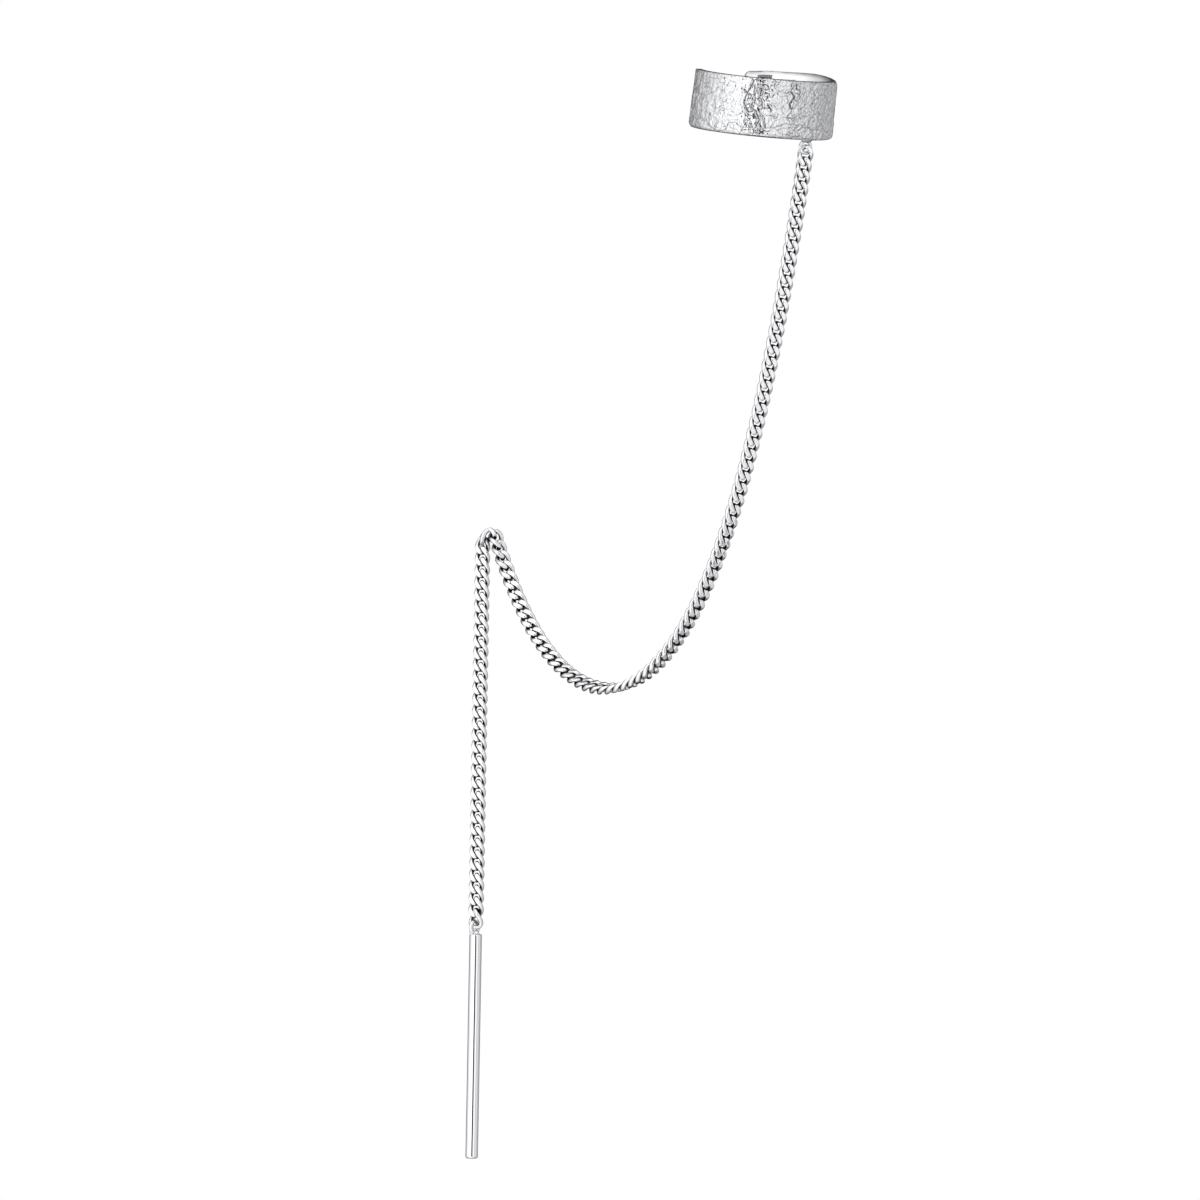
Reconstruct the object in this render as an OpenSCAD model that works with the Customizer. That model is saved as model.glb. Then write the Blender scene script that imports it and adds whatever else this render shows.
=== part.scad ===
// Ear chain earring: an open ear cuff, a fine curb chain and a threader bar, as they hang when worn.
// The chain leaves the cuff, hangs in a free curve, folds over at the lobe and drops to the bar.
// Millimetres. The origin is the middle of the cuff's hollow, +Z is up, and +Y points away from the viewer.

/* [Cuff] */
// Inside diameter of the band, which grips the rim of the ear
cuff_bore = 10.3; // [9:0.1:12]
// Thickness of the band
cuff_wall = 0.6; // [0.5:0.05:0.9]
// Height of the band
cuff_height = 4.7; // [3.6:0.1:6]
// Angle left open between the two ends of the band
cuff_gap = 80; // [60:1:100]
// Direction of the opening's middle, counted from +X towards +Y
cuff_gap_way = 146; // [135:1:155]
// Rounding of the outer edges of both rims
rim_round = 0.35; // [0.15:0.05:0.45]
// Rounding of the lower corners of the two ends
end_round_low = 0.55; // [0.3:0.05:1]
// Rounding of the upper corners of the two ends
end_round_top = 0.3; // [0.1:0.05:1]
// Sideways lean of the worn band
cuff_lean = 4.4; // [0:0.2:8]
// Forward tilt of the worn band
cuff_tilt = 5.6; // [0:0.2:8]

/* [Soldered loops] */
// Wire of the two loops, one under the cuff and one on the bar
loop_wire = 0.28; // [0.22:0.01:0.34]
// Play of the chain's wire inside a loop, on each side
loop_play = 0.18; // [0.17:0.01:0.26]
// Place of the cuff's loop round the band, from the front towards the right
loop_way = 44.6; // [20:0.2:70]
// How deep the top of the cuff's loop is let into the rim
loop_seat = 0.07; // [0.04:0.01:0.1]
// How far the solder laps past the loop's wire
solder_lap = 0.04; // [0.02:0.01:0.06]
// Width of the solder cup where it leaves the rim
solder_width = 1.12; // [0.8:0.04:1.4]

/* [Chain] */
// Wire of the links
link_wire = 0.3; // [0.26:0.01:0.34]
// Length that one link adds to the chain
link_pitch = 0.96; // [0.9:0.02:1.1]
// Width of the opening inside a link
link_inside = 0.7; // [0.68:0.02:0.8]
// Clearance between two links where they hook together
link_clearance = 0.11; // [0.1:0.01:0.14]
// Length of the chain from the cuff to the lobe
swag_length = 72; // [68:1:76]
// Level distance from the cuff's loop to the lobe
swag_span = 37.3; // [35:0.1:39]
// How far the lobe lies below the cuff's loop
lobe_below = 31; // [29:0.5:33]
// Turn of the hanging curve away from the viewer
swag_turn = 49; // [40:1:60]
// Length of the chain from the lobe to the bar
drop_length = 31.7; // [20:1:45]

/* [Bar] */
// Diameter of the threader bar
bar_diameter = 1.02; // [0.9:0.02:1.2]
// Length of the threader bar
bar_length = 18.5; // [14:0.5:24]
// Rounding of the bar's lower end
bar_round = 0.2; // [0.1:0.02:0.3]
// How deep the bar's loop is let into the top of the bar
eye_seat = 0.12; // [0.1:0.01:0.2]
// Diameter of the solder bead between the bar and its loop
bead_diameter = 0.56; // [0.4:0.02:0.6]

/* [Hidden] */
$fn = 48;

// The band: outside radius, middle of its wall, and the turn at which it starts
cuff_radius = cuff_bore / 2 + cuff_wall;
wall_middle = cuff_bore / 2 + cuff_wall / 2;
cuff_start = cuff_gap_way + cuff_gap / 2 - 360;
cuff_sweep = 360 - cuff_gap;

// The loops: centre line of the wire, and outside radius
loop_line = link_wire / 2 + loop_play + loop_wire / 2;
loop_outer = loop_line + loop_wire / 2;
solder_drop = loop_wire - loop_seat + solder_lap;
solder_radius = (solder_width * solder_width / 4 + solder_drop * solder_drop) / (2 * solder_drop);

// The link: length between the ends of its centre line, its twist end to end and how square it is
link_hook = link_wire + link_clearance;
link_length = link_pitch + link_hook;
link_width = link_inside + link_wire;
link_twist = 104;
link_square = 3;
link_rings = 12;
link_sides = 5;

// How the links lie at the cuff, over the lobe and at the bar, chosen by hand.
// Turns are seen from above and count from the plane of the hanging curve.
// Offsets are in widths of a hook, from the curve's last hook to the fold's near end,
// and from the fold's far end to the top of the drop.
CHAIN_ROUTE = [
    ["first_roll", -20],
    ["cuff_loop_turn", -91],
    ["fold_near", [-0.36, 0.75, 0.49]],
    ["fold_lie", [24, 40, 15]],
    ["fold_far", [0.17, -0.46, 1.43]],
    ["fold_slope", 63.4],
    ["drop_turn", -76],
    ["last_turn", -96],
    ["bar_loop_turn", -169]
];
function route(name) = CHAIN_ROUTE[search([name], CHAIN_ROUTE)[0]][1];

function sinh(x) = (exp(x) - exp(-x)) / 2;
function cosh(x) = (exp(x) + exp(-x)) / 2;
function asinh(x) = ln(x + sqrt(x * x + 1));
function unit(v) = v / norm(v);

// Turning a point: about X then Y, about Z, and down or up in the plane of the curve
function tilted(p, a, b) =
    let(q = [p.x, p.y * cos(a) - p.z * sin(a), p.y * sin(a) + p.z * cos(a)])
    [q.x * cos(b) + q.z * sin(b), q.y, q.z * cos(b) - q.x * sin(b)];
function turned(p, c) = [p.x * cos(c) - p.y * sin(c), p.x * sin(c) + p.y * cos(c), p.z];
function raised(p, e) = [p.x * cos(e) - p.z * sin(e), p.y, p.x * sin(e) + p.z * cos(e)];

// The free curve: a catenary through the cuff's loop and the lobe, in its own plane
swag_count = round(swag_length / link_pitch);
swag_true = swag_count * link_pitch;
swag_way = 180 - swag_turn;
function curve_size(low, high, step = 0) =
    let(a = (low + high) / 2)
    step > 45 ? a :
    2 * a * sinh(swag_span / (2 * a)) > sqrt(swag_true * swag_true - lobe_below * lobe_below)
        ? curve_size(a, high, step + 1)
        : curve_size(low, a, step + 1);
sag = curve_size(swag_span / 20, swag_span * 5);
start_reach = swag_span / 2 + sag / 2 * ln((swag_true + lobe_below) / (swag_true - lobe_below));
function swag_hook(k) =
    let(h = sag * asinh(sinh(start_reach / sag) - k * link_pitch / sag))
    [start_reach - h, 0, sag * (cosh(h / sag) - cosh(start_reach / sag))];
function swag_slope(k) =
    let(d = swag_hook(k + 1) - swag_hook(k))
    atan2(d.z, d.x);

// The cuff's loop hangs under the rim, and the first link hooks on at its centre
loop_centre =
    tilted([wall_middle * sin(loop_way), -wall_middle * cos(loop_way), -cuff_height / 2], cuff_tilt, cuff_lean)
    - [0, 0, loop_outer - loop_seat];
swag_start = loop_centre
    + turned(raised([(link_length - link_pitch) / 2, 0, 0], swag_slope(0)), swag_way);

// The fold follows half of any change of slope at the lobe
fold_lift = (swag_slope(swag_count - 1) - route("fold_slope")) / 2;
fold_near = link_hook * route("fold_near");
fold_along = turned(raised([link_length, 0, 0], -route("fold_lie").y), route("fold_lie").z);
drop_top = swag_hook(swag_count)
    + raised(fold_near + fold_along + link_hook * route("fold_far"), fold_lift);
drop_count = round(drop_length / link_pitch);
drop_end = drop_top - [0, 0, link_length + (drop_count - 1) * link_pitch];
eye_centre = swag_start + turned(drop_end, swag_way);

// One link: a flat loop of wire, squared and twisted as in a curb chain
function link_line(u) =
    let(x = link_length / 2 * sign(cos(u)) * pow(abs(cos(u)), 2 / link_square),
        w = link_width / 2 * sign(sin(u)) * pow(abs(sin(u)), 2 / link_square),
        t = -link_twist * x / link_length)
    [x, w * cos(t), w * sin(t)];
function link_ring(u) =
    let(c = link_line(u),
        along = unit(link_line(u + 1.15) - link_line(u - 1.15)),
        out = [0.6 * c.x, c.y, c.z],
        side = unit(out - (out * along) * along),
        over = cross(along, side))
    [for (j = [0 : link_sides - 1])
        c + link_wire / 2 * (cos(360 * j / link_sides) * side + sin(360 * j / link_sides) * over)];
link_points = [for (i = [0 : link_rings - 1]) each link_ring(360 * i / link_rings)];
function corner(i, j) = (i % link_rings) * link_sides + j % link_sides;
link_faces = [
    for (i = [0 : link_rings - 1], j = [0 : link_sides - 1])
        each [
            [corner(i, j), corner(i + 1, j), corner(i + 1, j + 1)],
            [corner(i, j), corner(i + 1, j + 1), corner(i, j + 1)]
        ]
];

module link() {
    polyhedron(points = link_points, faces = link_faces, convexity = 6);
}

// A soldered wire loop with its hole along the given turn
module wire_loop(turn) {
    rotate([0, 0, turn])
        rotate([0, 90, 0])
            rotate_extrude()
                translate([loop_line, 0])
                    circle(loop_wire / 2);
}

// Section of the band: square inside, both outer edges rounded
module band_section() {
    translate([cuff_bore / 2, -cuff_height / 2])
        square([cuff_wall - rim_round, cuff_height]);
    translate([cuff_bore / 2, rim_round - cuff_height / 2])
        square([cuff_wall, cuff_height - 2 * rim_round]);
    for (s = [-1, 1])
        translate([cuff_radius - rim_round, s * (cuff_height / 2 - rim_round)])
            circle(rim_round);
}

// What is cut away at one corner of an end, with the end's face on the XZ plane
module corner_cut(r) {
    translate([cuff_bore / 2 - cuff_wall, 0, 0])
        difference() {
            translate([0, -cuff_wall, -cuff_wall])
                cube([3 * cuff_wall, cuff_wall + r, cuff_wall + r]);
            translate([-cuff_wall, r, r])
                rotate([0, 90, 0])
                    cylinder(r = r, h = 5 * cuff_wall);
        }
}

module end_cuts() {
    translate([0, 0, -cuff_height / 2])
        corner_cut(end_round_low);
    mirror([0, 0, 1])
        translate([0, 0, -cuff_height / 2])
            corner_cut(end_round_top);
}

module band() {
    difference() {
        rotate([0, 0, cuff_start])
            rotate_extrude(angle = cuff_sweep)
                band_section();
        rotate([0, 0, cuff_start])
            end_cuts();
        rotate([0, 0, cuff_start + cuff_sweep])
            mirror([0, 1, 0])
                end_cuts();
    }
}

// The drop of solder under the rim, which holds the loop
module solder_cup() {
    rotate([0, 0, loop_way - 90])
        translate([cuff_bore / 2 + cuff_wall / 8, 0, solder_radius - solder_drop - cuff_height / 2])
            rotate([0, 90, 0])
                cylinder(r = solder_radius, h = cuff_wall * 5 / 8);
}

module ear_cuff() {
    color("silver")
        union() {
            rotate([cuff_tilt, cuff_lean, 0]) {
                band();
                solder_cup();
            }
            translate(loop_centre)
                wire_loop(swag_way + route("cuff_loop_turn"));
        }
}

module chain_swag() {
    color("gainsboro")
        translate(swag_start)
            rotate([0, 0, swag_way])
                for (k = [0 : swag_count - 1])
                    translate((swag_hook(k) + swag_hook(k + 1)) / 2)
                        rotate([k == 0 ? route("first_roll") : 0, -swag_slope(k), 0])
                            link();
}

module chain_drop() {
    color("lightgray")
        translate(swag_start)
            rotate([0, 0, swag_way]) {
                translate(swag_hook(swag_count))
                    rotate([0, -fold_lift, 0])
                        translate(fold_near + fold_along / 2)
                            rotate(route("fold_lie"))
                                link();
                for (k = [0 : drop_count - 1])
                    translate(drop_top - [0, 0, link_length / 2 + k * link_pitch])
                        rotate([0, 90, k == drop_count - 1 ? route("last_turn") : route("drop_turn")])
                            link();
            }
}

// Section of the bar, its lower end rounded
module bar_section() {
    translate([0, bar_round - bar_length])
        square([bar_diameter / 2, bar_length - bar_round]);
    translate([0, -bar_length])
        square([bar_diameter / 2 - bar_round, bar_length]);
    translate([bar_diameter / 2 - bar_round, bar_round - bar_length])
        circle(bar_round);
}

module threader_bar() {
    color("silver")
        translate(eye_centre)
            union() {
                translate([0, 0, eye_seat - loop_outer])
                    rotate_extrude()
                        bar_section();
                translate([0, 0, eye_seat / 2 - loop_outer])
                    sphere(d = bead_diameter);
                wire_loop(swag_way + route("bar_loop_turn"));
            }
}

ear_cuff();
chain_swag();
chain_drop();
threader_bar();
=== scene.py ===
import math
import bpy
import numpy as np
from mathutils import Matrix, Vector
from mathutils.bvhtree import BVHTree


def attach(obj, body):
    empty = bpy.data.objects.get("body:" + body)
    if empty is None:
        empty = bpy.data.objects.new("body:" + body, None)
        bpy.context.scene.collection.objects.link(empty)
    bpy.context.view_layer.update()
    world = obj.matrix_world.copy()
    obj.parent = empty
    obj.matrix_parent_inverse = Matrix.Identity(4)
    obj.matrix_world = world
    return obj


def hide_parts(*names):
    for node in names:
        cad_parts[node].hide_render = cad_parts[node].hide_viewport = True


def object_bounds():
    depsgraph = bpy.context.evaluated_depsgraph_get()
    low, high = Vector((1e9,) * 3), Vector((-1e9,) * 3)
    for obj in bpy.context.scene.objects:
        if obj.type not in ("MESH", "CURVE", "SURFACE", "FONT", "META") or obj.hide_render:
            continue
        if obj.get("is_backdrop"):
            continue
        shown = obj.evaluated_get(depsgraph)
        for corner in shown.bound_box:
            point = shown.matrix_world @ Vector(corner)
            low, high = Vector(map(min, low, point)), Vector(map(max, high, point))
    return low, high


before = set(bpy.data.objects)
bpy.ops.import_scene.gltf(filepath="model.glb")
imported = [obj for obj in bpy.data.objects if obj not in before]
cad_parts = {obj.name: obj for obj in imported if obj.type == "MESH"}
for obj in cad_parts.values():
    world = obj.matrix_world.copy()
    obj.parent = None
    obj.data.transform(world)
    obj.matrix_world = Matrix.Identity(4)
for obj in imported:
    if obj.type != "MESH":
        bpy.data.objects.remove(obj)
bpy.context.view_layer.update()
MM = 0.001    # the shapes below are worked out in millimetres


# ---------------------------------------------------------------- turns and noise
def turn(axis, deg):
    """The matrix of a turn about one axis."""
    c, s = math.cos(math.radians(deg)), math.sin(math.radians(deg))
    return np.array({"x": [[1, 0, 0], [0, c, -s], [0, s, c]],
                     "y": [[c, 0, s], [0, 1, 0], [-s, 0, c]],
                     "z": [[c, -s, 0], [s, c, 0], [0, 0, 1]]}[axis])


def lie(roll, dip, way):
    """Turned about X, then Y, then Z."""
    return turn("z", way) @ turn("y", dip) @ turn("x", roll)


def smooth_step(a, b, x):
    """From 0 at a to 1 at b, level at both."""
    t = np.clip((np.asarray(x) - a) / (b - a), 0, 1)
    return t * t * (3 - 2 * t)


def hashed(ix, iy, seed):
    """A number from 0 to 1 for each pair of whole numbers, the same on every run."""
    h = (ix.astype(np.int64) * 374761393 + iy.astype(np.int64) * 668265263 + seed * 974634777) & 0xFFFFFFFF
    h = ((h ^ (h >> 13)) * 1274126177) & 0xFFFFFFFF
    return ((h ^ (h >> 16)) & 0xFFFFFF) / float(0xFFFFFF)


def grain(x, y, size, seed):
    """Smooth noise from about -1 to 1 with one bump per size."""
    x, y = np.asarray(x, float) / size, np.asarray(y, float) / size
    ix, iy = np.floor(x), np.floor(y)
    fx, fy = x - ix, y - iy
    ux, uy = fx * fx * fx * (fx * (fx * 6 - 15) + 10), fy * fy * fy * (fy * (fy * 6 - 15) + 10)
    total = 0
    for dx in (0, 1):
        for dy in (0, 1):
            a = hashed(ix + dx, iy + dy, seed) * 2 * np.pi
            g = np.cos(a) * (fx - dx) + np.sin(a) * (fy - dy)
            total = total + g * (ux if dx else 1 - ux) * (uy if dy else 1 - uy)
    return total * 1.5


# ---------------------------------------------------------------- shapes: points and faces
def ring_faces(rings, sides, wrap=False):
    """Faces between rings of points; wrap joins the last ring to the first."""
    faces = []
    for i in range(rings if wrap else rings - 1):
        for j in range(sides):
            k, m = (i + 1) % rings, (j + 1) % sides
            faces.append((i * sides + j, i * sides + m, k * sides + m, k * sides + j))
    return faces


def lump_faces(rings, sides):
    """Faces of a closed lump: its lower pole, rings of points upwards, and its upper pole."""
    last = 1 + rings * sides
    faces = []
    for j in range(sides):
        k = (j + 1) % sides
        faces.append((0, 1 + k, 1 + j))
        for i in range(rings - 1):
            a, b = 1 + i * sides + j, 1 + i * sides + k
            faces.append((a, b, b + sides, a + sides))
        faces.append((last, last - sides + j, last - sides + k))
    return faces


def flipped(faces):
    """The same faces, looking the other way."""
    return [(f[0], *f[:0:-1]) for f in faces]


def joined(shapes):
    """One shape made of several."""
    points, faces, base = [], [], 0
    for p, f in shapes:
        points.append(np.asarray(p, float))
        faces += [tuple(v + base for v in q) for q in f]
        base += len(p)
    return np.concatenate(points), faces


def tube(line, radius, sides, side_hint):
    """Wire round a closed line; side_hint gives the direction of each ring's first point."""
    along = np.roll(line, -1, 0) - np.roll(line, 1, 0)
    along /= np.linalg.norm(along, axis=1)[:, None]
    side = side_hint - (side_hint * along).sum(1)[:, None] * along
    side /= np.linalg.norm(side, axis=1)[:, None]
    over = np.cross(along, side)
    a = np.arange(sides) * 2 * np.pi / sides
    ring = (np.cos(a)[None, :, None] * side[:, None, :] + np.sin(a)[None, :, None] * over[:, None, :])
    points = (line[:, None, :] + radius * ring).reshape(-1, 3)
    return points, ring_faces(len(line), sides, wrap=True)


def blob(centre, radii, R=np.eye(3), power=2.0, rings=19, sides=28):
    """A closed rounded lump, squarer with a higher power."""
    def bulge(t):
        return np.sign(t) * np.abs(t) ** (2 / power)

    points = [[0, 0, -1]]
    for b in np.linspace(-np.pi / 2, np.pi / 2, rings + 2)[1:-1]:
        for a in np.arange(sides) * 2 * np.pi / sides:
            points.append([bulge(math.cos(a)) * bulge(math.cos(b)), bulge(math.sin(a)) * bulge(math.cos(b)),
                           bulge(math.sin(b))])
    points.append([0, 0, 1])
    return np.array(points) * radii @ R.T + centre, lump_faces(rings, sides)


# ---------------------------------------------------------------- objects
def piece(name, shape, body, node, material):
    """A mesh object from a shape in millimetres, riding on a body in place of a node."""
    points, faces = shape
    mesh = bpy.data.meshes.new(name)
    mesh.from_pydata((points * MM).tolist(), [], faces)
    mesh.update()
    mesh.validate()
    mesh.polygons.foreach_set("use_smooth", np.full(len(mesh.polygons), True))
    mesh.materials.append(material)
    obj = bpy.data.objects.new(name, mesh)
    bpy.context.scene.collection.objects.link(obj)
    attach(obj, body)
    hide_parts(node)
    return obj


def paint_shade(obj, values):
    """How dark each point is painted, as shade, from 0 to 1."""
    painted_shade = obj.data.attributes.new("painted_shade", "FLOAT", "POINT")
    painted_shade.data.foreach_set("value", np.asarray(values, np.float32))


# ---------------------------------------------------------------- materials
def feed(tree, node, inputs):
    """Feeds inputs of a node from other nodes' outputs, or sets them to values."""
    for socket, value in inputs.items():
        if isinstance(value, bpy.types.NodeSocket):
            tree.links.new(value, node.inputs[socket])
        else:
            node.inputs[socket].default_value = value


def wired(tree, kind, inputs, **settings):
    """A new shader node with its settings and inputs."""
    node = tree.nodes.new("ShaderNode" + kind)
    for setting, value in settings.items():
        setattr(node, setting, value)
    feed(tree, node, inputs)
    return node


def silver(name, colour, rough, spread, grain_mm, bump_mm, rim, with_painted_shade=False):
    """Silver with clouded gloss and fine grain, optionally mixed towards near black by a painted shade attribute;
    rim is the brightness of what it mirrors at a grazing angle.
    """
    material = bpy.data.materials.new(name)
    material.use_nodes = True
    tree = material.node_tree
    place = wired(tree, "TexCoord", {}).outputs["Object"]
    cloud = wired(tree, "TexNoise", {"Scale": 1 / (grain_mm * 6 * MM), "Detail": 4, "Vector": place}).outputs["Fac"]
    gloss = wired(tree, "MapRange", {"Value": cloud, "From Min": 0.3, "From Max": 0.7,
                                     "To Min": rough - spread, "To Max": rough + spread})
    duller = (colour[0] * 0.93, colour[1] * 0.93, colour[2] * 0.925, 1)
    metal = wired(tree, "Mix", {"Factor": cloud, "A": (*colour, 1), "B": duller}, data_type="RGBA")
    # painted shade: the colour goes towards near black as the point's painted shade value rises
    if with_painted_shade:
        painted_shade = wired(tree, "Attribute", {}, attribute_name="painted_shade").outputs["Fac"]
        metal = wired(tree, "Mix", {"Factor": painted_shade, "A": metal.outputs["Result"], "B": (0.03, 0.03, 0.035, 1)},
                      data_type="RGBA")
    fine = wired(tree, "TexNoise", {"Scale": 1 / (grain_mm * MM), "Detail": 3, "Vector": place}).outputs["Fac"]
    bump = wired(tree, "Bump", {"Strength": 1.0, "Distance": bump_mm * MM, "Height": fine})
    feed(tree, tree.nodes["Principled BSDF"], {
        "Metallic": 1.0, "IOR": 1.45, "Specular Tint": (rim, rim, rim, 1), "Base Color": metal.outputs["Result"],
        "Roughness": gloss.outputs["Result"], "Normal": bump.outputs["Normal"]})
    return material


def matte(name, tone):
    """A dull grey for the floor and the cards."""
    material = bpy.data.materials.new(name)
    material.use_nodes = True
    feed(material.node_tree, material.node_tree.nodes["Principled BSDF"],
         {"Base Color": (tone, tone, tone, 1), "Roughness": 0.9})
    return material


cuff_silver = silver("hammered_silver", (0.93, 0.935, 0.962), rough=0.05, spread=0.025, grain_mm=0.13,
                     bump_mm=0.003, rim=0.85, with_painted_shade=True)
wire_silver = silver("wire_silver", (0.95, 0.955, 0.975), rough=0.045, spread=0.02, grain_mm=0.12,
                     bump_mm=0.001, rim=0.0, with_painted_shade=True)
bar_silver = silver("bar_silver", (0.94, 0.945, 0.97), rough=0.045, spread=0.02, grain_mm=0.9,
                    bump_mm=0.004, rim=0.0)

# ---------------------------------------------------------------- sizes, as in the part's source
BORE, WALL, HEIGHT, LEAN, TILT = 10.3, 0.6, 4.7, 4.4, 5.6              # the cuff
GAP, GAP_WAY = 80.0, 146.0
LOOP_WIRE, LOOP_PLAY, LOOP_WAY, LOOP_SEAT = 0.28, 0.18, 44.6, 0.07     # the soldered loops
LINK_WIRE, PITCH, CLEAR = 0.3, 0.96, 0.11                              # the chain
SWAG, SPAN, BELOW, TURN, DROP = 72.0, 37.3, 31.0, 49.0, 31.7
FOLD_NEAR, FOLD_LIE, FOLD_FAR, FOLD_SLOPE = [-0.36, 0.75, 0.49], (24, 40, 15), [0.17, -0.46, 1.43], 63.4
BAR, BAR_LONG, BAR_ROUND, EYE_SEAT = 1.02, 18.5, 0.2, 0.12             # the bar

RADIUS = BORE / 2 + WALL
MIDDLE = BORE / 2 + WALL / 2
CUFF = turn("y", LEAN) @ turn("x", TILT)
HOOK = LINK_WIRE + CLEAR
LINK = PITCH + HOOK
LOOP_LINE = LINK_WIRE / 2 + LOOP_PLAY + LOOP_WIRE / 2
LOOP_OUTER = LOOP_LINE + LOOP_WIRE / 2
PLANE = turn("z", 180 - TURN)

# ---------------------------------------------------------------- the chain's route
swag_count, drop_count = round(SWAG / PITCH), round(DROP / PITCH)
true_length = swag_count * PITCH
low, high = SPAN / 20, SPAN * 5
for _ in range(60):
    sag = (low + high) / 2
    if 2 * sag * math.sinh(SPAN / (2 * sag)) > math.sqrt(true_length ** 2 - BELOW ** 2):
        low = sag
    else:
        high = sag
start_reach = SPAN / 2 + sag / 2 * math.log((true_length + BELOW) / (true_length - BELOW))


def swag_hook(k):
    """Where link k of the swag starts, in the plane of the curve."""
    h = sag * math.asinh(math.sinh(start_reach / sag) - k * PITCH / sag)
    return np.array([start_reach - h, 0, sag * (math.cosh(h / sag) - math.cosh(start_reach / sag))])


def swag_slope(k):
    """How steeply link k of the swag climbs, in degrees."""
    d = swag_hook(k + 1) - swag_hook(k)
    return math.degrees(math.atan2(d[2], d[0]))


loop_way = math.radians(LOOP_WAY)
loop_centre = CUFF @ np.array([MIDDLE * math.sin(loop_way), -MIDDLE * math.cos(loop_way), -HEIGHT / 2])
loop_centre = loop_centre - [0, 0, LOOP_OUTER - LOOP_SEAT]
swag_start = loop_centre + PLANE @ turn("y", -swag_slope(0)) @ [(LINK - PITCH) / 2, 0, 0]
lift = turn("y", -((swag_slope(swag_count - 1) - FOLD_SLOPE) / 2))
fold_near = HOOK * np.array(FOLD_NEAR)
fold_lie = lie(*FOLD_LIE)
fold_far = HOOK * np.array(FOLD_FAR)
drop_top = swag_hook(swag_count) + lift @ (fold_near + fold_lie @ [LINK, 0, 0] + fold_far)
eye_centre = swag_start + PLANE @ (drop_top - [0, 0, LINK + (drop_count - 1) * PITCH])

# The shown links: how each lies, as a turn and a centre. Their slow turn about the chain's own length is as
# the photograph shows it: (link, degrees).
SWAG_TURN = [(0, 34), (12, 30), (28, 20), (40, 14), (47, 6), (52, -12), (55, -28), (60, -38), (66, -50),
             (69, -50), (74, -6)]
DROP_WAY, LAST_WAY = -68, -88     # how the drop's links and its last one are turned about the upright
SIDE = np.array([-0.09, 0, 0])    # the shown drop and bar hang this much further left than the solids

links = []
for k in range(swag_count):
    at = (swag_hook(k) + swag_hook(k + 1)) / 2
    links.append((PLANE @ lie(np.interp(k, *zip(*SWAG_TURN)), -swag_slope(k), 0), swag_start + PLANE @ at))
at = swag_hook(swag_count) + lift @ (fold_near + fold_lie @ [LINK / 2, 0, 0])
links.append((PLANE @ lift @ fold_lie, SIDE / 2 + swag_start + PLANE @ at))
for k in range(drop_count):
    at = drop_top - [0, 0, LINK / 2 + k * PITCH]
    links.append((PLANE @ lie(0, 90, LAST_WAY if k == drop_count - 1 else DROP_WAY), SIDE + swag_start + PLANE @ at))

# ---------------------------------------------------------------- one link of the curb chain
SHOWN_WIRE = 0.38
SHOWN_WIDTH = 0.90
SHOWN_LONG = 1.40
SHOWN_TWIST = 130.0
SHOWN_SQUARE = 3
FACE = 0.36                 # half the thickness between the two lightly ground faces
FACE_ROUND = 0.04           # what is left of the wire's roundness beyond them
SWAG_SHADE = (0.76, 0.3)    # openness at which the metal starts to darken, and at which it is darkest
DROP_SHADE = (0.92, 0.37)
SWAG_DARK, DROP_DARK = 0.86, 0.9
SKY_REACH = 2.0             # what lies further off than this leaves a point open
SKY_LIFT = 0.004            # rays start this far off the surface
GOLDEN_ANGLE = 2.399963     # spreads the rays evenly


def link_line(u):
    """The middle of the wire: a squared loop with a twist."""
    c, s = np.cos(u), np.sin(u)
    x = SHOWN_LONG / 2 * np.sign(c) * np.abs(c) ** (2 / SHOWN_SQUARE)
    w = SHOWN_WIDTH / 2 * np.sign(s) * np.abs(s) ** (2 / SHOWN_SQUARE)
    t = -math.radians(SHOWN_TWIST) * x / SHOWN_LONG
    return np.stack([x, w * np.cos(t), w * np.sin(t)], -1)


def link_shape(rings=60, sides=18):
    """A link with evenly spaced rings of points, ground lightly on both faces."""
    fine = np.linspace(0, 2 * np.pi, 4001)
    line = link_line(fine)
    run = np.r_[0, np.cumsum(np.linalg.norm(np.diff(line, axis=0), axis=1))]
    line = link_line(np.interp(np.arange(rings) * run[-1] / rings, run, fine))
    points, faces = tube(line, SHOWN_WIRE / 2, sides, line * [0.6, 1, 1])
    q = np.abs(points[:, 2])
    points[:, 2] = np.sign(points[:, 2]) * np.where(q > FACE, FACE + FACE_ROUND * (q - FACE), q)
    return points, faces


def openness(points, faces, around, rays=40):
    """Share of the sky that each point sees past the given shape, from 0 to 1."""
    tree = BVHTree.FromPolygons(around[0].tolist(), around[1])
    normal = np.zeros_like(points)
    f = np.array(faces)
    n = np.cross(points[f[:, 2]] - points[f[:, 0]], points[f[:, 3]] - points[f[:, 1]])
    for j in range(4):
        np.add.at(normal, f[:, j], n)
    normal /= np.linalg.norm(normal, axis=1)[:, None]
    i = np.arange(rays) + 0.5
    r, t = np.sqrt(i / rays), i * GOLDEN_ANGLE
    sky = np.stack([r * np.cos(t), r * np.sin(t), np.sqrt(1 - r * r)], -1)
    free = np.zeros(len(points))
    for k, (p, m) in enumerate(zip(points, normal)):
        a = np.cross(m, [0.3, 0.5, 0.81])
        a /= np.linalg.norm(a)
        c = np.cross(m, a)
        start = Vector(p + SKY_LIFT * m)
        free[k] = sum(tree.ray_cast(start, Vector(d[0] * a + d[1] * c + d[2] * m), SKY_REACH)[0] is None
                      for d in sky)
    return free / rays


link_points, link_faces = link_shape()
row = joined([(link_points + [k * PITCH, 0, 0], link_faces) for k in (-2, -1, 0, 1, 2)])
link_open = openness(link_points, link_faces, row)
FOLD = swag_count    # the link that folds over, the first of the drop


def placed(first, last):
    """The shapes of some of the links, where they hang."""
    return [(link_points @ R.T + c, link_faces) for R, c in links[first:last]]


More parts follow.
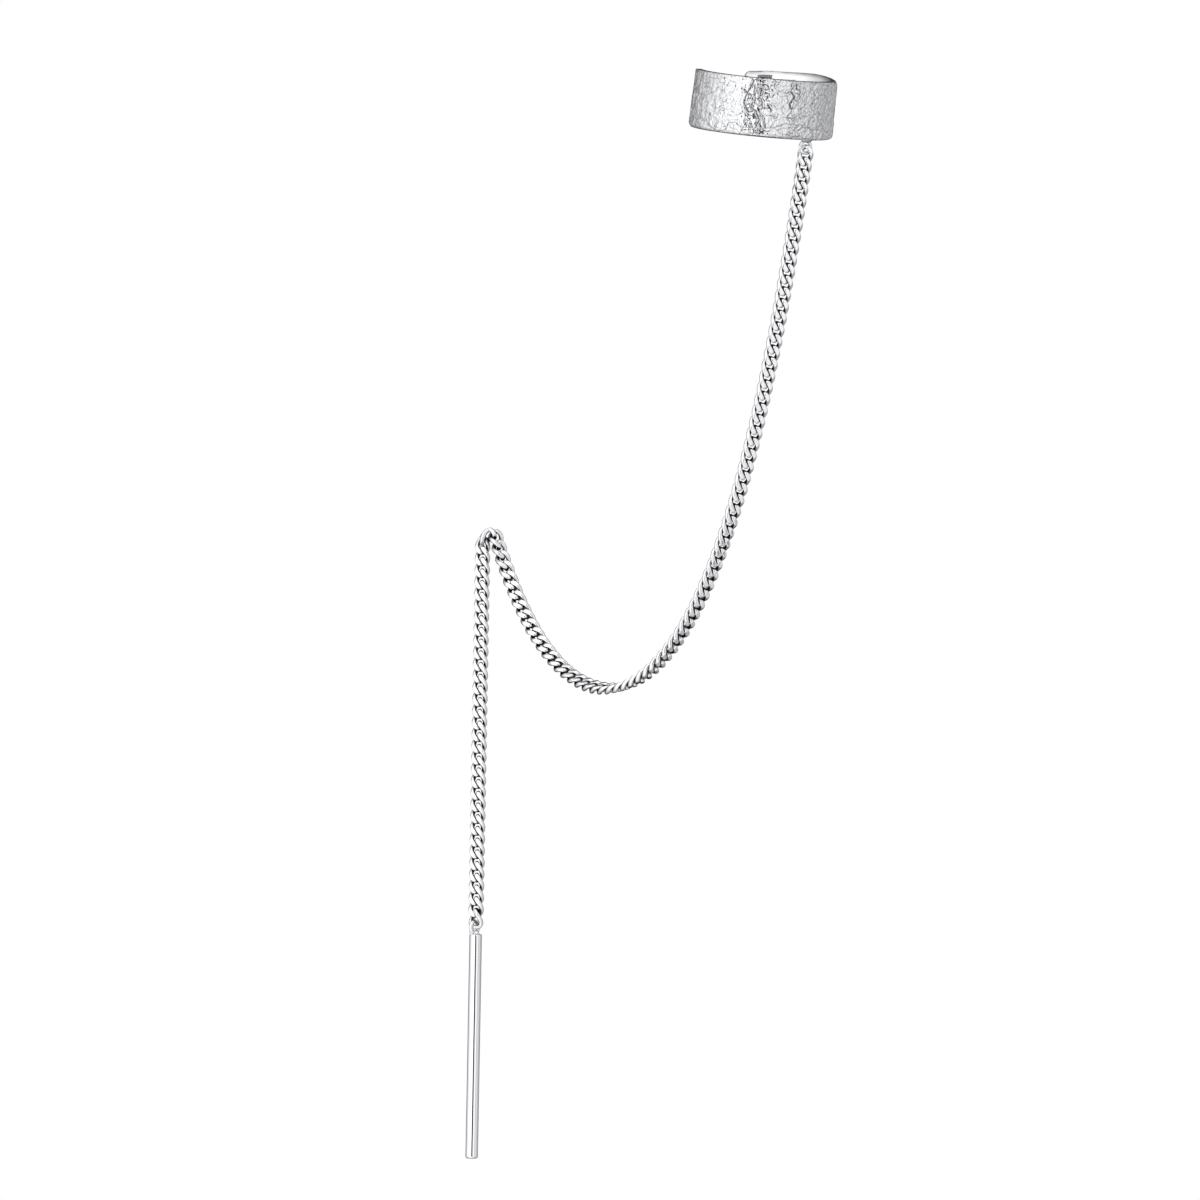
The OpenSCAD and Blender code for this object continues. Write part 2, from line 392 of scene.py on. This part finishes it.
def link_shade(k):
    """How dark each point of a link is painted, as shade where its neighbours hide the sky; links at the ends and
    round the fold look at their real neighbours.
    """
    wide = link_open
    if k < 2 or abs(k - FOLD) < 4 or k > len(links) - 2:
        wide = openness(*placed(k, k + 1)[0], joined(placed(max(0, k - 2), k + 3)))
    if k < FOLD:
        return SWAG_DARK * smooth_step(*SWAG_SHADE, wide)
    return DROP_DARK * smooth_step(*DROP_SHADE, wide)


for name, first, last, node in (("swag_links", 0, FOLD, "chain_swag"),
                                ("drop_links", FOLD, len(links), "chain_drop")):
    obj = piece(name, joined(placed(first, last)), "cuff_and_chain", node, wire_silver)
    # painted shade: the links darken where their neighbours hide the sky
    paint_shade(obj, np.concatenate([link_shade(k) for k in range(first, last)]))

# ---------------------------------------------------------------- the cuff's band
START, SWEEP = GAP_WAY + GAP / 2 - 360, 360 - GAP
ARC = math.radians(SWEEP) * RADIUS
FRONT = math.radians(-90 - START) * RADIUS    # arc length from the start to the front

# Crevices of the outside: lines of (arc from the front, height above the lower rim), then the depth, the width and
# how dark they are painted, as shade
CREVICES = [
    # the long wavy crack above the lower rim
    ([(-4.95, 0.95), (-4.89, 0.58), (-4.45, 0.37), (-3.62, 0.12), (-2.89, 0.22), (-2.55, 0.91), (-2.0, 0.94),
      (-1.41, 0.65), (-0.16, 0.69), (1.17, 0.85), (2.06, 1.19), (2.54, 1.26), (3.72, 1.01), (4.57, 0.86),
      (5.4, 0.9)], 0.04, 0.045, 0.6),
    # the ridged strip left of the middle
    ([(-0.94, 4.61), (-0.83, 4.4), (-1.0, 3.94), (-1.14, 3.61), (-1.38, 3.1), (-1.43, 2.64), (-1.18, 2.01),
      (-0.98, 1.88)], 0.06, 0.045, 1.0),
    ([(-1.54, 3.68), (-1.28, 3.42)], 0.05, 0.04, 1.0),
    ([(-1.16, 3.25), (-1.02, 3.37), (-0.88, 3.22), (-0.93, 3.0), (-1.11, 2.99)], 0.05, 0.035, 0.9),
    ([(-0.7, 4.1), (-0.68, 3.53), (-0.57, 3.0), (-0.58, 2.56)], 0.05, 0.035, 0.9),
    ([(-0.45, 4.01), (-0.42, 3.46), (-0.18, 3.2), (0.03, 3.42), (0.04, 3.84), (-0.17, 4.06)], 0.04, 0.035, 0.7),
    ([(-0.51, 3.05), (-0.06, 3.05), (0.03, 2.64), (-0.2, 2.45), (-0.43, 2.57)], 0.05, 0.035, 0.9),
    ([(0.01, 2.62), (0.11, 2.36), (-0.04, 2.21)], 0.045, 0.035, 0.9),
    ([(-1.19, 2.14), (-0.97, 2.25), (-0.67, 2.28), (-0.68, 1.97), (-1.04, 1.93), (-1.19, 2.14)],
     0.05, 0.04, 0.9),
    ([(-0.61, 2.2), (-0.36, 1.94), (-0.24, 1.61), (-0.08, 1.36), (-0.2, 1.16), (-0.32, 0.77)], 0.055, 0.045, 1.0),
    ([(-0.03, 1.92), (0.12, 1.74), (0.24, 1.22), (0.36, 0.85)], 0.045, 0.035, 0.8),
    ([(-1.31, 1.04), (-1.11, 1.29), (-0.74, 1.21), (-0.61, 0.96), (-0.87, 0.73)], 0.04, 0.035, 0.7),
    ([(-1.3, 0.44), (-0.32, 0.58), (-0.2, 0.37), (-1.0, 0.19)], 0.035, 0.03, 0.6),
    ([(0.37, 4.43), (0.81, 4.55), (1.19, 4.36), (0.94, 4.16), (0.53, 4.17)], 0.03, 0.03, 0.3),
    ([(0.61, 3.83), (0.89, 3.67), (1.17, 3.61)], 0.03, 0.03, 0.3),
    # the ridged strip right of the middle
    ([(2.3, 4.47), (2.27, 4.2)], 0.05, 0.035, 0.9),
    ([(2.64, 4.47), (2.73, 4.06), (3.03, 3.98), (3.14, 3.74), (2.98, 3.62)], 0.05, 0.04, 0.9),
    ([(2.27, 3.8), (2.45, 3.59), (2.62, 3.43), (2.41, 3.06), (2.23, 2.78), (2.31, 2.54), (2.53, 2.44)],
     0.055, 0.045, 1.0),
    ([(2.51, 2.44), (2.49, 2.1), (2.18, 1.9), (2.15, 1.64), (2.43, 1.39)], 0.04, 0.035, 0.7),
    ([(2.88, 1.77), (3.15, 1.43)], 0.04, 0.035, 0.6),
    ([(2.75, 0.23), (3.38, 0.32)], 0.04, 0.045, 0.8),
]
DEEP, DEEP_WIDER = 0.65, 1.4    # a crevice darker than this is wider by this factor


def near_line(s, z, line):
    """The distance of each point to a line of several parts."""
    best = np.full(s.shape, 9.0)
    for (a, b), (c, d) in zip(line[:-1], line[1:]):
        dx, dz = c - a, d - b
        t = np.clip(((s - a) * dx + (z - b) * dz) / (dx * dx + dz * dz), 0, 1)
        best = np.minimum(best, np.hypot(s - a - t * dx, z - b - t * dz))
    return best


def creases(s, z, size, seed, width):
    """Curly lines where smooth noise changes sign: 1 on a line, 0 beside it."""
    v = grain(s, z, size, seed)
    e = 0.02
    slope = np.hypot(grain(s + e, z, size, seed) - v, grain(s, z + e, size, seed) - v) / e
    return np.exp(-(v / np.maximum(slope, 0.25 / size) / width) ** 2)


def relief(s, z):
    """How far the hammered outside stands from the plain band, in millimetres, and how dark it is painted, as shade
    in its creases and crevices and in patches over its zones.
    """
    # the place, bent about so that nothing runs straight
    wx = s + 0.16 * grain(s, z, 0.7, 11) + 0.05 * grain(s, z, 0.25, 13)
    wz = z + 0.16 * grain(s, z, 0.7, 12) + 0.05 * grain(s, z, 0.25, 14)
    # the two ridged strips, and the zones from left to right
    strip = np.maximum(np.exp(-((s + 0.65) / 0.95) ** 6), 0.55 * np.exp(-((s - 2.6) / 0.6) ** 4))
    left = smooth_step(-2.4, -3.6, s)
    bright = smooth_step(-4.3, -3.6, s) * smooth_step(-1.3, -1.7, s)
    right = smooth_step(2.2, 4.0, s)
    middle = smooth_step(0.1, 0.7, s) * (1 - right)
    # dents, from coarse to fine, and the ridges of the two strips
    h = 0.03 * grain(wx, wz, 1.5, 1) + (0.016 + 0.024 * left + 0.020 * right) * grain(wx * 1.2, wz * 0.7, 0.5, 2)
    h += (0.004 + 0.040 * right + 0.018 * left) * grain(wx * 0.95 - 0.45 * wz, wz * 0.8, 0.26, 3)
    h += 0.012 * (right + 0.8 * left) * grain(wx * 0.8 - 0.4 * wz, wz * 0.9, 0.15, 34)
    h += strip * (0.085 * np.abs(grain(wx, wz * 0.8, 0.55, 31)) + 0.012 * grain(wx, wz, 0.3, 32))
    # creases, from coarse to fine
    c1 = creases(wx, wz, 0.85, 5, 0.035)
    c2 = creases(wx * 1.1, wz * 0.85, 0.42, 6, 0.03)
    c3 = creases(wx * 1.2, wz * 0.7, 0.27, 7, 0.024)
    h -= (0.010 + 0.006 * strip) * c1 + (0.008 + 0.006 * strip) * c2 + 0.005 * (1 - strip) * c3
    # painted shade: the creases darken, the most in the strips, and the middle, left and right zones darken in
    # patches
    fine = 0.16 + 0.16 * right + 0.24 * middle + 0.24 * bright + 0.12 * left
    painted_shade = (0.42 + 0.3 * strip) * c1 + (0.32 + 0.3 * strip) * c2 + fine * (1 - strip) * c3
    painted_shade += 0.10 * middle * smooth_step(-0.6, 0.8, grain(wx, wz, 0.6, 33))
    painted_shade += (0.15 * right + 0.1 * left) * smooth_step(0.05, 0.6, grain(wx * 0.8 - 0.4 * wz, wz, 0.2, 35))
    # the crevices, a little ragged, cut in and painted dark as shade
    jx = s + 0.05 * grain(s, z, 0.26, 21) + 0.02 * grain(s, z, 0.11, 23)
    jz = z + 0.05 * grain(s, z, 0.26, 22)
    for line, depth, width, shade in CREVICES:
        k = np.exp(-(near_line(jx, jz, line) / (DEEP_WIDER * width if shade > DEEP else width)) ** 2)
        h -= depth * k
        painted_shade = np.maximum(painted_shade, k * shade)
    return h, np.clip(painted_shade, 0, 1)


def rounded(r, d):
    """How far a surface falls back at distance d from its edge, where the edge is rounded with radius r."""
    return np.where(d < r, r - np.sqrt(np.maximum(r * r - (r - d) ** 2, 0)), 0)


def cuff_band():
    """The band as a shape, and how dark each point is painted, as shade."""
    # stations round the band: fine where the photograph shows it, finest at the two rounded ends
    seen, fine_step, coarse_step, end_run = 8.0, 0.036, 0.12, 0.75
    fine = np.arange(FRONT - seen, FRONT + seen, fine_step)
    rest = np.arange(fine[-1] + coarse_step, ARC - end_run, coarse_step)
    ends = 1 - np.cos(np.linspace(0, np.pi / 2, 16))
    s = np.unique(np.round(np.r_[ends * end_run, fine[fine > end_run], rest, ARC - ends * end_run], 5))
    edge = np.minimum(s, ARC - s)
    near = s < ARC / 2
    angle = np.radians(START) + s / RADIUS

    def corner(r):
        d = np.clip(r - edge, 0, r)
        return r - np.sqrt(np.maximum(r * r - d * d, 0))

    # the ends' corners, lower and upper, and their thinning; the near end's upper corner is sharper
    z_low, z_top = -HEIGHT / 2 + corner(0.58), HEIGHT / 2 - corner(np.where(near, 0.12, 0.42))
    thin = corner(0.13)
    r_out, r_in = RADIUS - thin, BORE / 2 + thin
    # rounding of the rims: outside below, outside above, where it grows to the right, and inside
    round_low, round_in, least_wall = 0.34, 0.10, 0.12
    round_top = 0.13 + 0.23 * smooth_step(FRONT + 0.5, FRONT + 6, s)
    # the section: up the outside, over the upper rim, down the inside and under the lower rim
    rows, rim_rows, inner_rows = 122, 8, 14
    rim = np.linspace(0, 1, rim_rows + 2)[1:-1]
    section = [("outside", t) for t in np.linspace(0, 1, rows)] + [("over", t) for t in rim]
    section += [("inside", t) for t in np.linspace(1, 0, inner_rows)]
    section += [("under", t) for t in np.linspace(1, 0, rim_rows + 2)[1:-1]]
    m = len(section)
    points, dark = np.zeros((len(s), m, 3)), np.zeros((len(s), m))
    for j, (part, t) in enumerate(section):
        if part in ("outside", "inside"):
            z = z_low + (z_top - z_low) * t
            d = np.minimum(z - z_low, z_top - z)
        if part == "outside":
            r = r_out - rounded(np.where(z_top - z < z - z_low, round_top, round_low), d)
            h, painted_shade = relief(s - FRONT, z + HEIGHT / 2)
            quiet = smooth_step(0.0, 0.25, edge)
            r = np.maximum(r, r_in + least_wall) + h * (0.45 + 0.55 * smooth_step(-0.02, 0.3, d)) * quiet
            dark[:, j] = painted_shade * quiet
        elif part == "inside":
            r = r_in + rounded(round_in, d) + 0.006 * grain(s, z, 1.6, 41)
            # painted shade: the far half's inside darkens, the most under the upper rim
            dark[:, j] = np.where(near, 0, 0.04 + 0.50 * smooth_step(0.14, 0.02, z_top - z))
        else:
            outer = np.maximum(r_out - (round_top if part == "over" else round_low), r_in + least_wall)
            r = outer + (r_in + round_in - outer) * t
            z = z_top if part == "over" else z_low
            z = z + 0.012 * grain(s, r * 3, 0.8, 51) * np.sin(np.pi * t)
            # painted shade: the far half's rims are darker
            dark[:, j] = np.where(near, 0, 0.6)
        points[:, j] = np.stack([r * np.cos(angle), r * np.sin(angle), z], -1)
    faces = flipped(ring_faces(len(s), m))
    faces.append(tuple(range(m)))
    faces.append(tuple(reversed(range((len(s) - 1) * m, len(s) * m))))
    # the band isn't quite round: its right side and its left end stand out, and its far rim rises and falls
    points = points.reshape(-1, 3)
    way = np.arctan2(points[:, 1], points[:, 0])
    points[:, 0] += 0.14 * smooth_step(2.0, 5.7, points[:, 0])
    left_end = smooth_step(-2.5, -5.7, points[:, 0]) * smooth_step(2.0, -1.0, points[:, 1])
    points[:, 0] += left_end * (0.12 + 0.035 * points[:, 2])
    points[:, 2] += 0.22 * np.exp(-((way - 0.7) / 0.55) ** 2) - 0.14 * smooth_step(1.45, 1.85, way)
    return (points @ CUFF.T, faces), dark.reshape(-1)


# the band, and the shade painted on it
shape, painted_shade = cuff_band()
paint_shade(piece("cuff_band", shape, "cuff_and_chain", "ear_cuff", cuff_silver), painted_shade)


# ---------------------------------------------------------------- the soldered loops
def wire_loop(centre, way, radius, wire, rings=72, sides=20):
    """An upright ring of wire, turned from the plane of the swag."""
    a = np.arange(rings) * 2 * np.pi / rings
    R = PLANE @ turn("z", way)
    ring = np.stack([a * 0, np.cos(a), np.sin(a)], -1)
    return tube(centre + (ring * radius) @ R.T, wire / 2, sides, ring @ R.T)


# under the cuff, with a cup of solder; the cup is painted dark and the loop a little dark, as shade
cup_turn = turn("z", LOOP_WAY - 90)
cup_at = CUFF @ cup_turn @ np.array([MIDDLE, 0, -HEIGHT / 2 + 0.06])
cup = blob(cup_at, (0.27, 0.54, 0.25), CUFF @ cup_turn, power=2.3)
loop = wire_loop(loop_centre - [0.08, 0, 0], -8, LOOP_LINE + 0.02, 0.26)
hanger = piece("cuff_loop", joined([loop, cup]), "cuff_and_chain", "ear_cuff", wire_silver)
paint_shade(hanger, [0.05] * len(loop[0]) + [0.45] * len(cup[0]))


# ---------------------------------------------------------------- the bar
def bar_shape(sides=72):
    """The bar by its profile, (radius, height) from the top down; its surface is a little uneven."""
    r, edge = BAR / 2, 0.1
    top, foot = EYE_SEAT - LOOP_OUTER - edge, EYE_SEAT - LOOP_OUTER - BAR_LONG
    profile = [(r * 0.55, top + 0.005), (r - edge, top)]
    profile += [(r - edge + edge * math.sin(a), top - edge + edge * math.cos(a))
                for a in np.linspace(0.25, np.pi / 2, 6)]
    profile += [(r, z) for z in np.linspace(top - 0.16, foot + BAR_ROUND + 0.04, 150)]
    profile += [(r - BAR_ROUND + BAR_ROUND * math.cos(a), foot + BAR_ROUND - BAR_ROUND * math.sin(a))
                for a in np.linspace(0, np.pi / 2, 9)]
    profile += [(r * 0.4, foot)]
    points = [[0, 0, top + 0.01]]
    a = np.arange(sides) * 2 * np.pi / sides
    for out, z in profile:
        uneven = 1 + 0.006 * grain(a * 0.5 + 3, a * 0 + z * 0.8, 1.0, 61)
        points += [[out * w * math.cos(t), out * w * math.sin(t), z] for w, t in zip(uneven, a)]
    points.append([0, 0, foot])
    return np.array(points) + eye_centre + SIDE, flipped(lump_faces(len(profile), sides))


piece("bar_rod", bar_shape(), "threader_bar", "threader_bar", bar_silver)
# its loop, with one bead of solder under it and one up its left side
at = eye_centre + SIDE
eye = [blob(at + [0, 0, EYE_SEAT / 2 - LOOP_OUTER], (0.30, 0.26, 0.27)),
       blob(at + [-0.30, -0.14, -0.46], (0.20, 0.18, 0.32)),
       wire_loop(at - [0.10, 0, 0.02], -172, LOOP_LINE, LOOP_WIRE * 1.12)]
piece("bar_loop", joined(eye), "threader_bar", "threader_bar", wire_silver)


# ---------------------------------------------------------------- floor and card, in metres
def staged(name, points, faces, materials):
    """A flat shape that belongs to the picture and not to the piece."""
    mesh = bpy.data.meshes.new(name)
    mesh.from_pydata(points, [], faces)
    for material in materials:
        mesh.materials.append(material)
    obj = bpy.data.objects.new(name, mesh)
    bpy.context.scene.collection.objects.link(obj)
    obj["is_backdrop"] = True
    return obj


FLOOR_RADIUS, FLOOR_Z = 1.3, -0.17
floor = staged("floor", [(FLOOR_RADIUS * math.cos(a), FLOOR_RADIUS * math.sin(a), FLOOR_Z)
                         for a in np.arange(64) * 2 * np.pi / 64], [tuple(range(64))], [matte("pale_floor", 0.86)])
floor.visible_glossy = False

# a dark card with the lens behind it: the dark line in every polished upright
CARD_Y = -0.206
CARD_EDGE = [(-0.056, -0.17), (0.040, -0.17), (0.040, -0.062), (-0.004, -0.048), (-0.004, -0.014), (0.040, 0.004),
             (0.040, 0.09), (-0.056, 0.09), (-0.056, 0.004), (-0.084, -0.014), (-0.084, -0.048), (-0.056, -0.062)]
card = staged("lens_card", [(x, CARD_Y, z) for x, z in CARD_EDGE],
              [(0, 1, 2, 11), (11, 2, 3, 10), (10, 3, 4, 9), (9, 4, 5, 8), (8, 5, 6, 7)],
              [matte("black_card", 0.04), matte("grey_card", 0.5)])
card.data.polygons[4].material_index = 1    # the top of the card is grey
card.visible_camera = False

# ---------------------------------------------------------------- light
# brightness of the surround by direction, from behind over the left to the front and round the right
AROUND = [(-180, 0.06), (-172, 0.12), (-160, 0.28), (-145, 0.38), (-125, 0.6), (-98, 0.84), (-76, 1.12),
          (-60, 1.28), (-20, 1.4), (20, 1.1), (50, 0.98), (54, 0.35), (58, 0.35), (61, 0.92), (76, 0.8),
          (98, 0.58), (118, 0.49), (132, 0.64), (148, 0.6), (162, 0.34), (172, 0.1), (180, 0.06)]
# and by height, from straight below to straight above
UPDOWN = [(-1, 0.8), (-0.4, 0.92), (0, 1.0), (1, 1.0)]


def greys(tree, source, marks, unit=1):
    """Brightness through marks of (value, brightness), where the source gives the value in units."""
    low, high = marks[0][0], marks[-1][0]
    share = wired(tree, "MapRange", {"Value": source, "From Min": low * unit, "From Max": high * unit})
    ramp = wired(tree, "ValToRGB", {"Fac": share.outputs["Result"]})
    while len(ramp.color_ramp.elements) < len(marks):
        ramp.color_ramp.elements.new(0.5)
    for stop, (value, bright) in zip(ramp.color_ramp.elements, marks):
        stop.position = (value - low) / (high - low)
        stop.color = (bright, bright, bright, 1)
    return ramp.outputs["Color"]


world = bpy.data.worlds.new("studio")
bpy.context.scene.world = world
world.use_nodes = True
tree = world.node_tree
tree.nodes.clear()
where = wired(tree, "SeparateXYZ", {0: wired(tree, "TexCoord", {}).outputs["Generated"]}).outputs
back = wired(tree, "Math", {0: where["Y"], 1: -1}, operation="MULTIPLY").outputs[0]
angle = wired(tree, "Math", {0: where["X"], 1: back}, operation="ARCTAN2").outputs[0]
both = wired(tree, "Mix", {"Factor": 1, "A": greys(tree, angle, AROUND, unit=math.pi / 180),
                           "B": greys(tree, where["Z"], UPDOWN)}, data_type="RGBA", blend_type="MULTIPLY")
shine = wired(tree, "Background", {"Color": both.outputs["Result"]})
plain = wired(tree, "Background", {"Color": (1, 1, 1, 1), "Strength": 1.0})
seen = wired(tree, "LightPath", {}).outputs["Is Camera Ray"]
pick = wired(tree, "MixShader", {0: seen, 1: shine.outputs[0], 2: plain.outputs[0]})
wired(tree, "OutputWorld", {"Surface": pick.outputs[0]})
bpy.context.scene.view_settings.view_transform = "Standard"

# ---------------------------------------------------------------- camera
AWAY, ACROSS, DOWN = 1000, 12.917, 39.713    # how far it stands from the cuff's middle, in millimetres
ROLL = math.radians(-1.04)
right = Vector((math.cos(ROLL), 0, -math.sin(ROLL)))
up = Vector((math.sin(ROLL), 0, math.cos(ROLL)))
ahead = Vector((0, 1, 0))
at = -(AWAY * ahead + ACROSS * right + DOWN * up) * MM
camera = bpy.data.objects.new("camera", bpy.data.cameras.new("camera"))
bpy.context.scene.collection.objects.link(camera)
camera.data.sensor_width = 36
camera.data.lens = 375
camera.data.clip_start, camera.data.clip_end = 0.1, 20
camera.matrix_world = Matrix(((right.x, up.x, -ahead.x, at.x), (right.y, up.y, -ahead.y, at.y),
                              (right.z, up.z, -ahead.z, at.z), (0, 0, 0, 1)))
bpy.context.scene.camera = camera

low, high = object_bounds()
